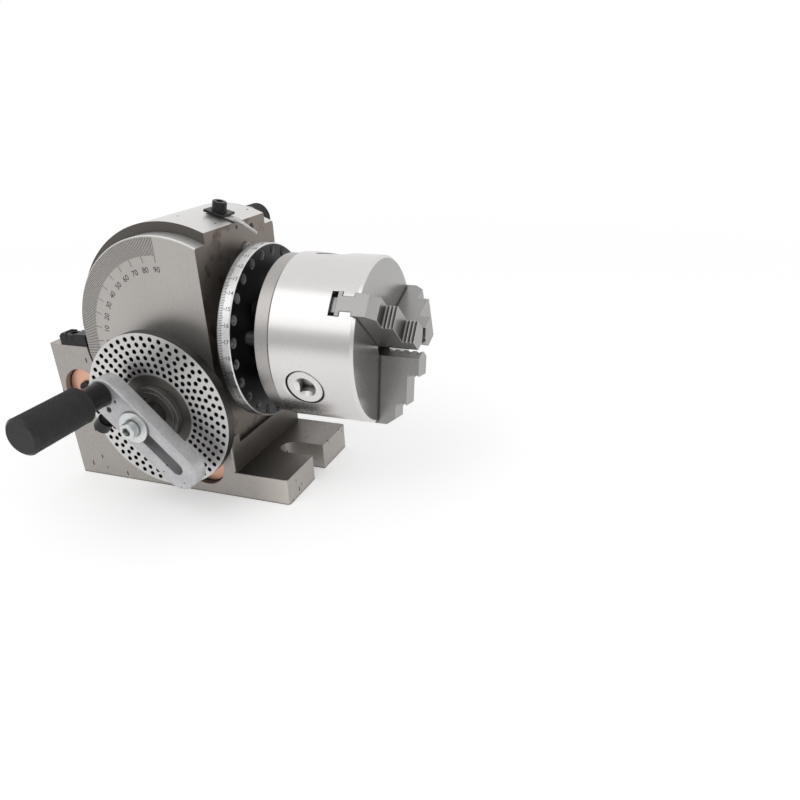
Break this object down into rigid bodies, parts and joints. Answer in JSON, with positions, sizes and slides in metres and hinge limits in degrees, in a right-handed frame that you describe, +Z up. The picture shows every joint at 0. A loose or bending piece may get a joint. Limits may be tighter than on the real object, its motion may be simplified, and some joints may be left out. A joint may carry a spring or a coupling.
{
  "type": "dividing head",
  "caption": "Tilting dividing head in a cradle base with a worm-driven spindle, direct index plate, hole-circle plate with crank, and a jawed scroll chuck.",
  "frame": {"origin": "on the base's underside, straight below the head's tilt axis and midway across its width", "axes": "+Z up, +X along the spindle towards the chuck, -Y towards the index plate and crank"},
  "size_m": [0.2437, 0.2087, 0.1787],
  "materials": {
    "cast_body": "satin ground",
    "copper": "bright copper",
    "black_steel": "black oxide",
    "zinc": "zinc plated",
    "arm_alloy": "satin",
    "plate_steel": "satin ground",
    "bronze": "machined",
    "bright_steel": "bright satin"
  },
  "bodies": {
    "base_group": {"base": "cast_body", "tie_washers": "copper", "tie_bolts": "black_steel", "tie_nuts": "black_steel", "clamp_blocks": "black_steel", "clamp_screws": "black_steel"},
    "head_group": {"head_casting": "cast_body", "front_bush": "bronze", "rear_bush": "bronze", "worm_housing": "plate_steel", "tail_bush": "bronze", "index_plate": "plate_steel", "index_screws": "zinc", "index_nut": "plate_steel", "pointer": "bright_steel", "pointer_plate": "black_steel", "pointer_screw": "black_steel"},
    "spindle_group": {"spindle": "bright_steel", "ring_nut": "bright_steel", "worm_wheel": "bronze", "direct_plate": "black_steel", "direct_screws": "black_steel", "back_plate": "bright_steel", "chuck_bolts": "black_steel", "chuck_body": "bright_steel", "chuck_cover": "bright_steel"},
    "scroll_group": {"scroll": "bright_steel"},
    "crank_group": {"worm_shaft": "bright_steel", "thrust_collar": "bright_steel", "crank_arm": "arm_alloy", "arm_washer": "zinc", "arm_screw": "zinc", "pinch_screw": "black_steel", "plunger_sleeve": "black_steel", "plunger_spring": "bright_steel"},
    "plunger_group": {"plunger_pin": "black_steel", "plunger_knob": "black_steel"},
    "lock_knob_group": {"lock_shaft": "bright_steel", "lock_knob": "black_steel"},
    "lock_pin_group": {"lock_pin": "bright_steel"},
    "jaw_group_1": {"jaw_1": "bright_steel"},
    "pinion_group_1": {"pinion_1": "bright_steel"},
    "jaw_group_2": {"jaw_2": "bright_steel"},
    "pinion_group_2": {"pinion_2": "bright_steel"},
    "jaw_group_3": {"jaw_3": "bright_steel"},
    "pinion_group_3": {"pinion_3": "bright_steel"}
  },
  "joints": [
    {"name": "head_tilt", "type": "hinge", "parent": "base_group", "child": "head_group", "pos_m": [0, 0, 0.1], "axis": [0, -1, 0], "range_deg": [-10, 90]},
    {"name": "spindle_turn", "type": "hinge", "parent": "head_group", "child": "spindle_group", "pos_m": [0, 0, 0.1], "axis": [1, 0, 0], "continuous": true},
    {"name": "crank_turn", "type": "hinge", "parent": "head_group", "child": "crank_group", "pos_m": [-0.004, 0, 0.065], "axis": [0, 1, 0], "continuous": true},
    {"name": "plunger_pull", "type": "slide", "parent": "crank_group", "child": "plunger_group", "axis": [0, -1, 0], "range_m": [0, 0.006], "stiffness_N_per_m": 600, "springref_m": -0.004, "deforming": ["plunger_spring"]},
    {"name": "lock_turn", "type": "hinge", "parent": "head_group", "child": "lock_knob_group", "pos_m": [0.0105, 0, 0.1588], "axis": [0, -1, 0], "range_deg": [0, 50]},
    {"name": "lock_slide", "type": "slide", "parent": "head_group", "child": "lock_pin_group", "axis": [1, 0, 0], "range_m": [0, 0.00595]},
    {"name": "scroll_turn", "type": "hinge", "parent": "spindle_group", "child": "scroll_group", "pos_m": [0, 0, 0.1], "axis": [1, 0, 0], "range_deg": [-180, 1260]},
    {"name": "jaw_slide_1", "type": "slide", "parent": "spindle_group", "child": "jaw_group_1", "axis": [0, -0.7604, 0.6494], "range_m": [-0.0031, 0.0211]},
    {"name": "jaw_slide_2", "type": "slide", "parent": "spindle_group", "child": "jaw_group_2", "axis": [0, -0.1822, -0.9833], "range_m": [-0.0031, 0.0211]},
    {"name": "jaw_slide_3", "type": "slide", "parent": "spindle_group", "child": "jaw_group_3", "axis": [0, 0.9426, 0.3338], "range_m": [-0.0031, 0.0211]},
    {"name": "pinion_turn_1", "type": "hinge", "parent": "spindle_group", "child": "pinion_group_1", "pos_m": [0.089, 0, 0.1], "axis": [0, -0.9426, -0.3338], "range_deg": [-6630, 960]},
    {"name": "pinion_turn_2", "type": "hinge", "parent": "spindle_group", "child": "pinion_group_2", "pos_m": [0.089, 0, 0.1], "axis": [0, 0.7604, -0.6494], "range_deg": [-6630, 960]},
    {"name": "pinion_turn_3", "type": "hinge", "parent": "spindle_group", "child": "pinion_group_3", "pos_m": [0.089, 0, 0.1], "axis": [0, 0.1822, 0.9833], "range_deg": [-6630, 960]}
  ],
  "couplings": [
    {"joint": "crank_turn", "follows": "spindle_turn", "ratio": -40},
    {"joint": "lock_slide", "follows": "lock_turn", "m_per_rad": 0.00678},
    {"joint": "jaw_slide_1", "follows": "scroll_turn", "m_per_rad": 0.00095493},
    {"joint": "jaw_slide_2", "follows": "scroll_turn", "m_per_rad": 0.00095493},
    {"joint": "jaw_slide_3", "follows": "scroll_turn", "m_per_rad": 0.00095493},
    {"joint": "pinion_turn_1", "follows": "scroll_turn", "ratio": -5.25},
    {"joint": "pinion_turn_2", "follows": "scroll_turn", "ratio": -5.25},
    {"joint": "pinion_turn_3", "follows": "scroll_turn", "ratio": -5.25}
  ]
}
